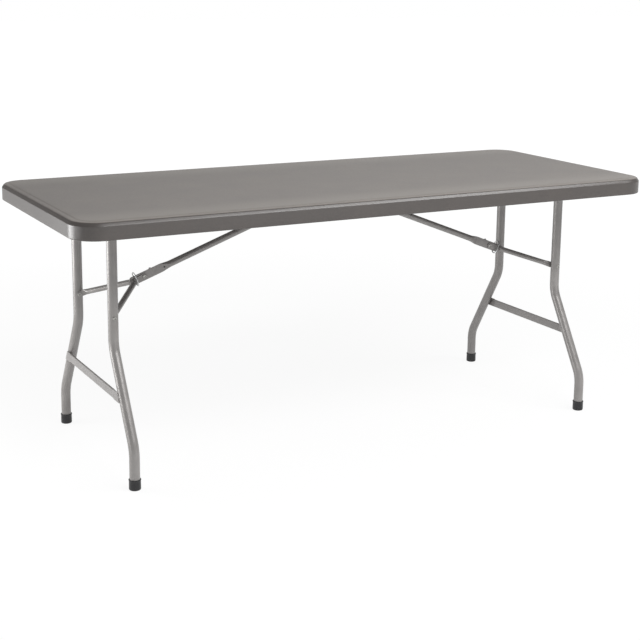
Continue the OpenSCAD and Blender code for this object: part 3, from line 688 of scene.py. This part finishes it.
def bar_weld(side):
    """Low fillet weld along the cut end of the cross bar, on the crown of the leg."""
    z = np.linspace(-bar_half_h + 2, bar_half_h - 2, 30)
    y = side * (bar_y - z * tan(slant) + 0.3)
    x = bar_face_x - bar_flat_t + 0.9 + 0 * z
    return weld(np.stack([x, y, bar_z + z], -1), bar_weld_r)


def foot_cap():
    """Nylon cap: hollow underneath, rounded at the floor, slightly tapered, with
    a soft lip at the top that closes on the tube."""
    # A shallow hollow, the land round it, the round edge, the side, and the lip.
    profile = np.concatenate([
        [[0, 1.6], [cap_r - 7.0, 1.6], [cap_r - 6.2, 0.8]],
        [[cap_r - 5.4, 0.0], [cap_r - cap_floor_r, 0.0]],
        arc((cap_r - cap_floor_r, cap_floor_r), cap_floor_r, -90, 0, 7)[1:],
        [[cap_r, 8.0], [cap_r - 0.15, cap_h - 4.2]],
        arc((cap_lip_r - 0.9, cap_h - 2.4), 0.9, -60, 0, 3),
        arc((cap_lip_r - 1.1, cap_h - 1.1), 1.1, 0, 90, 5),
        [[leg_r + 0.5, cap_h - 0.1], [leg_r + 0.02, cap_h - 0.6], [leg_r - 0.4, cap_h - 1.2],
         [0, cap_h - 1.2]],
    ])
    return lathed(profile, 48, upright=True) + [leg_x, foot_y, 0]


def rivet_head(way):
    """Rolled end of a tubular rivet, which faces +Y or -Y: a half-round ring
    between the outer radius and the bore, and a shallow dish in the middle."""
    half = (head_r - head_bore) / 2
    roll = arc((head_bore + half, 0), half, 0, 180, 13) * [1, head_h / half]
    dish = [[head_bore * 0.92, -head_dish * 0.8], [head_bore * 0.6, -head_dish], [0, -head_dish]]
    profile = np.concatenate([[[0, -0.8], [head_r - 0.2, -0.8]], roll, dish])
    return lathed(profile, 28) * [1, way, 1]


def leg_rivets():
    """Rolled outer ends on both legs of a frame."""
    return [rivet_head(side) + [leg_x, side * (leg_y + leg_r + leg_head_lift), rivet_z]
            for side in (-1, 1)]


def pivot_tube():
    """Tube across the top of a leg frame, with its wall and chamfered ends."""
    e, inner, chamfer = pivot_half, pivot_r - pivot_wall, 0.4
    profile = [[inner, -e], [pivot_r - chamfer, -e], [pivot_r, -e + chamfer],
               [pivot_r, e - chamfer], [pivot_r - chamfer, e], [inner, e]]
    return lathed(profile, 40) + [leg_x, 0, pivot_z]


# ------------------------------------------------------------------ braces


def sloped(points, slope, b):
    """From an arm's own frame (along it towards the leg, across, square to it;
    origin at the mid joint) to the right-hand end of the table."""
    c, s = cos(slope), sin(slope)
    x = b.mid[0] + points[..., 0] * c + points[..., 2] * s
    z = b.mid[2] - points[..., 0] * s + points[..., 2] * c
    return np.stack([x, points[..., 1], z], -1)


def blend_steps(start, stop, count=9):
    """Stations of a pressed transition and its share from 0 to 1."""
    f = np.linspace(0, 1, count)
    return start + (stop - start) * f, ease(f)


def upper_arm(b):
    """Tube pressed flat at both ends: an eye on the deck pin, and a long flat
    blade past the mid joint with rounded corners and a small stop on top."""
    end = plate_tail - plate_tail_r
    eye = -b.upper_l + arm_eye_r * np.sin(np.radians(np.linspace(-90, 0, 9)))
    loft_a, wa = blend_steps(-b.upper_l + arm_eye_flat, -b.upper_l + arm_eye_flat + arm_loft)
    loft_b, wb = blend_steps(-plate_back - plate_loft, -plate_back, 15)
    stop = stop_s + (stop_r + 0.8) * np.sin(np.radians(np.linspace(-90, 90, 15)))
    tail = end + plate_tail_r * np.sin(np.radians(np.linspace(0, 90, 8)))
    blade = np.concatenate([[-44.0, -34.0], stop, [-10.0, 20.0], tail])
    s = np.concatenate([eye, loft_a, loft_b, blade])
    w = np.concatenate([np.ones(len(eye)), 1 - wa, wb, np.ones(len(blade))])
    flat_b = np.where(s < -b.upper_l / 2, arm_eye_r, plate_w / 2)
    high = upper_r + (flat_b - upper_r) * w
    round_eye = half_chord(arm_eye_r, np.minimum(s + b.upper_l, 0))
    round_tail = plate_w / 2 - plate_tail_r + half_chord(plate_tail_r, np.maximum(s - end, 0))
    high = np.where(s < -b.upper_l, round_eye, np.where(s > end, round_tail, high))
    a = upper_r + (plate_t / 2 - upper_r) * w
    r = np.minimum(upper_r + (plate_corner_r - upper_r) * w, np.minimum(a, high))
    section = rounded(a, high, r, 40)
    lug = np.maximum(half_chord(stop_r, s - stop_s) - stop_sink, 0)
    on_top = section[..., 1] > 0.9 * high[:, None]
    section[..., 1] += np.where(on_top, lug[:, None], 0)
    points = np.stack([s[:, None] + 0 * section[..., 0], section[..., 0], section[..., 1]], -1)
    return sloped(points, b.upper_slope, b)


def lower_arm(b):
    """Tube pressed flat at both ends, from beside the mid joint out to the
    inside of a leg. The path turns through two soft corners."""
    start = np.array([eye_flat, eye_mid_y])
    stop = np.array([b.lower_l - leg_eye_flat, leg_eye_mid_y])
    span = np.linalg.norm(stop - start)
    lean, flat = (stop - start) / span, np.array([1.0, 0.0])
    f = np.linspace(0, 1, 7)[:, None]

    def corner(at, before, after):
        """Quadratic curve from just before a corner to just after it."""
        p, q = at - before * path_cut, at + after * path_cut
        return (1 - f) ** 2 * p + 2 * f * (1 - f) * at + f ** 2 * q

    half = eye_w / 2
    eye_a = half * np.sin(np.radians(np.linspace(-90, 0, 9)))
    eye_b = b.lower_l + half * np.sin(np.radians(np.linspace(0, 90, 9)))
    path = np.concatenate([
        np.stack([eye_a, np.full_like(eye_a, start[1])], -1),
        corner(start, flat, lean),
        start + lean * np.linspace(path_cut + 2, eye_loft, 6)[:, None],
        stop - lean * np.linspace(eye_loft, path_cut + 2, 6)[:, None],
        corner(stop, lean, flat),
        np.stack([eye_b, np.full_like(eye_b, stop[1])], -1),
    ])
    run = (path - start) @ lean
    w = ease(np.clip(np.maximum(1 - run / eye_loft, 1 - (span - run) / eye_loft), 0, 1))
    s = path[:, 0]
    high = lower_r + (half - lower_r) * w
    high = np.where(s < 0, half_chord(half, s), high)
    high = np.where(s > b.lower_l, half_chord(half, s - b.lower_l), high)
    thick = lower_r + (eye_t / 2 - lower_r) * w
    r = np.minimum(lower_r + (eye_corner_r - lower_r) * w, np.minimum(thick, high))
    path = np.stack([s, path[:, 1], 0 * s], -1)
    return sloped(swept(path, (0, 0, 1), rounded(high, thick, r, 36)), b.lower_slope, b)


def lock_ring(b):
    """Wire bent to a ring with straight sides round all three flat ends."""
    straight = ring_half_h - ring_half_w
    up = arc((0, straight), ring_half_w, 0, 180, 25)
    down = arc((0, -straight), ring_half_w, 180, 360, 25)
    y, z = np.concatenate([up, down]).T
    path = np.stack([np.full_like(y, ring_s), y, z + ring_rise], -1)
    ahead = unit(np.roll(path, -1, axis=0) - np.roll(path, 1, axis=0))
    across = np.array([1.0, 0, 0])
    ring = circles(across, np.cross(ahead, across), 14)
    return sloped(path[:, None] + wire_r * ring, b.upper_slope, b)


def joint_rivet(b):
    """Shank and two rolled ends through the mid joint."""
    shank = lathed([[shank_r, -joint_head_y], [shank_r, joint_head_y]], 28)
    heads = [rivet_head(side) + [0, side * joint_head_y + side * joint_head_lift, 0]
             for side in (-1, 1)]
    return [sloped(points, b.upper_slope, b) for points in (shank, *heads)]


def arm_end_rivets(b):
    """Clenched inner ends of the leg rivets, in the outer eyes."""
    inner = leg_eye_mid_y - eye_t / 2
    return [sloped(rivet_head(-side) + [b.lower_l, side * inner, 0], b.lower_slope, b)
            for side in (-1, 1)]


def peep_hole(b):
    """Cutter of a small hole in one wall of the upper arm, from its middle out."""
    hole = lathed([[peep_r, 0.0], [peep_r, upper_r + 2.0]], 24) + [peep_s, 0, 0]
    return sloped(hole, b.upper_slope, b)


# ------------------------------------------------------------------ both ends


def add_end(side, turn):
    """All pieces of one end: turn is 1 for the right end and -1 for the left,
    which is the right one turned half a turn about Z."""
    arms = brace(side)
    legs_body, upper_body = f"{side}_leg_frame", f"{side}_upper_brace"
    lower_body, ring_body = f"{side}_lower_brace", f"{side}_lock_ring"

    def shells(*grids, closed=False):
        """Closed shells of grids made for the right end."""
        return [shell(points * [turn, turn, 1], closed) for points in grids]

    for mirror in (1, -1):
        row = "back" if mirror * turn > 0 else "front"
        swap = [1, mirror, 1]
        piece(f"{side}_bent_leg_{row}", shells(leg() * swap), PAINT, legs_body,
              [f"{side}_leg_{row}"])
        piece(f"{side}_foot_{row}", shells(foot_cap() * swap), NYLON, legs_body,
              [f"{side}_foot_cap_{row}"])
        beads = [weld(path * swap, saddle_weld_r) for path in saddle_welds()]
        piece(f"{side}_saddle_welds_{row}", shells(*beads), PAINT, legs_body)
        piece(f"{side}_bar_weld_{row}", shells(bar_weld(mirror)), PAINT, legs_body)
        piece(f"{side}_brace_leg_{row}", shells(lower_arm(arms) * swap), PAINT, lower_body,
              [f"{side}_lower_arm_{row}"])
    piece(f"{side}_pressed_bar", shells(cross_bar()), PAINT, legs_body, [f"{side}_cross_bar"])
    piece(f"{side}_pivot_pipe", shells(pivot_tube(), closed=True), PAINT, legs_body,
          [f"{side}_pivot_tube"])
    piece(f"{side}_leg_rivet_heads", shells(*leg_rivets()), DULL_PLATE, legs_body,
          [f"{side}_leg_rivets"])
    tube = piece(f"{side}_brace_tube", shells(upper_arm(arms)), PAINT, upper_body,
                 [f"{side}_upper_arm"])
    bore(tube, *shells(peep_hole(arms)))
    piece(f"{side}_mid_rivet", shells(*joint_rivet(arms)), DULL_PLATE, upper_body,
          [f"{side}_joint_rivet"])
    piece(f"{side}_clenched_rivets", shells(*arm_end_rivets(arms)), DULL_PLATE, lower_body,
          [f"{side}_arm_end_rivets"])
    piece(f"{side}_wire_ring", shells(lock_ring(arms), closed=True), PLATE, ring_body,
          [f"{side}_lock_ring"])


add_end("right", 1)
add_end("left", -1)

# CAD nodes that stay take the finish of their material slot.
for part in frame["record"]["subparts"]:
    node = frame["nodes"][part["node"]]
    node.material_slots[0].material = FINISH[part["material_slot"]]

# ------------------------------------------------------------------ studio


def lamp(name, at, aim, size, power):
    """White soft rectangular lamp that faces a point."""
    data = bpy.data.lights.new(name, "AREA")
    data.shape = "RECTANGLE"
    data.size, data.size_y = size
    data.energy = power
    made = bpy.data.objects.new(name, data)
    made.location = at
    made.visible_camera = False
    made.rotation_mode = "QUATERNION"
    made.rotation_quaternion = (Vector(aim) - Vector(at)).to_track_quat("-Z", "Y")
    bpy.context.scene.collection.objects.link(made)


def add_world():
    """White surroundings for the camera. Gloss sees a lit backdrop, whitest low
    down and towards +X+Y; the plain light comes evenly from all round."""
    world = bpy.data.worlds.new("studio")
    bpy.context.scene.world = world
    world.use_nodes = True
    tree = world.node_tree
    tree.nodes.clear()
    rays = add(tree, "ShaderNodeLightPath").outputs
    seen = add(tree, "ShaderNodeMath", {"operation": "MAXIMUM"}, _0=rays["Is Camera Ray"],
               _1=rays["Is Transmission Ray"]).outputs[0]
    way = add(tree, "ShaderNodeTexCoord").outputs["Generated"]
    upward = add(tree, "ShaderNodeSeparateXYZ", _0=way).outputs["Z"]
    paling = add(tree, "ShaderNodeMapRange", Value=upward, From_Min=0.15, From_Max=0.6,
                 To_Min=1.0, To_Max=0.5).outputs[0]
    bearing = add(tree, "ShaderNodeVectorMath", {"operation": "DOT_PRODUCT"}, _0=way,
                  _1=(0.643, 0.766, 0)).outputs["Value"]
    backdrop = add(tree, "ShaderNodeMapRange", Value=bearing, From_Min=0.7, From_Max=1.0,
                   To_Min=0.2, To_Max=1.0).outputs[0]
    gloss = add(tree, "ShaderNodeMath", {"operation": "MULTIPLY"}, _0=paling,
                _1=backdrop).outputs[0]
    light = add(tree, "ShaderNodeMix", _0=rays["Is Glossy Ray"], _2=0.42, _3=gloss).outputs[0]
    strength = add(tree, "ShaderNodeMath", {"operation": "MAXIMUM"}, _0=seen,
                   _1=light).outputs[0]
    sky = add(tree, "ShaderNodeBackground", Color=linear("#ffffff"), Strength=strength)
    add(tree, "ShaderNodeOutputWorld", Surface=sky.outputs[0])


def vinyl():
    """Pale rolled vinyl: white to the camera far off, and near the object it
    keeps part of the shadow. From below it is clear, to show the underside."""
    material, tree = new_material("white_vinyl_floor")
    rays = add(tree, "ShaderNodeLightPath").outputs
    shine = add(tree, "ShaderNodeMath", {"operation": "MAXIMUM"}, _0=rays["Is Glossy Ray"],
                _1=rays["Is Transmission Ray"]).outputs[0]
    shine = add(tree, "ShaderNodeMath", {"operation": "MULTIPLY"}, _0=shine, _1=0.7).outputs[0]
    place = add(tree, "ShaderNodeTexCoord").outputs["Object"]
    away = add(tree, "ShaderNodeVectorMath", {"operation": "LENGTH"}, _0=place).outputs["Value"]
    white = add(tree, "ShaderNodeMapRange", Value=away, From_Min=1.6, From_Max=4.0,
                To_Min=0.86, To_Max=1.0).outputs[0]
    seen = add(tree, "ShaderNodeMath", {"operation": "MULTIPLY"}, _0=rays["Is Camera Ray"],
               _1=white).outputs[0]
    share = add(tree, "ShaderNodeMath", {"operation": "MAXIMUM"}, _0=seen, _1=shine).outputs[0]
    matt = add(tree, "ShaderNodeBsdfDiffuse", Color=linear("#e6e6e6"))
    glow = add(tree, "ShaderNodeEmission", Color=linear("#ffffff"), Strength=1.05)
    both = add(tree, "ShaderNodeMixShader", _0=share, _1=matt.outputs[0], _2=glow.outputs[0])
    below = add(tree, "ShaderNodeNewGeometry").outputs["Backfacing"]
    clear = add(tree, "ShaderNodeBsdfTransparent")
    both = add(tree, "ShaderNodeMixShader", _0=below, _1=both.outputs[0], _2=clear.outputs[0])
    add(tree, "ShaderNodeOutputMaterial", Surface=both.outputs[0])
    # It gives light to what a ray meets by chance, which is smoother than as a lamp.
    material.cycles.emission_sampling = "NONE"
    return material


def add_floor():
    """A wide square just under the feet."""
    mesh = bpy.data.meshes.new("floor")
    half, drop = 30.0, 0.0005
    corners = np.array([[-half, -half, 0], [half, -half, 0], [half, half, 0],
                        [-half, half, 0]]) - [0, 0, drop]
    mesh.from_pydata(corners.tolist(), [], [[0, 1, 2, 3]])
    mesh.materials.append(vinyl())
    floor = bpy.data.objects.new("floor", mesh)
    bpy.context.scene.collection.objects.link(floor)


# Name, place, the point it faces, its two sides in metres, and watts.
lamp("left_strip", (-2.65, 1.26, 0.42), (-0.9, -0.38, 0.5), (1.5, 0.6), 5)
lamp("left_spot", (-1.85, 0.52, 0.45), (-0.86, -0.34, 0.5), (0.8, 0.5), 8.5)
lamp("left_softbox", (-3.3, 0.0, 0.42), (-0.8, -0.1, 0.45), (1.4, 0.6), 6.5)
lamp("front_fill", (1.5, -4.6, 0.8), (0.5, 0, 0.4), (2.0, 1.4), 9)
lamp("overhead", (1.1, -2.4, 3.2), (0.1, -0.2, 0.75), (4.0, 0.8), 112)
add_world()
add_floor()
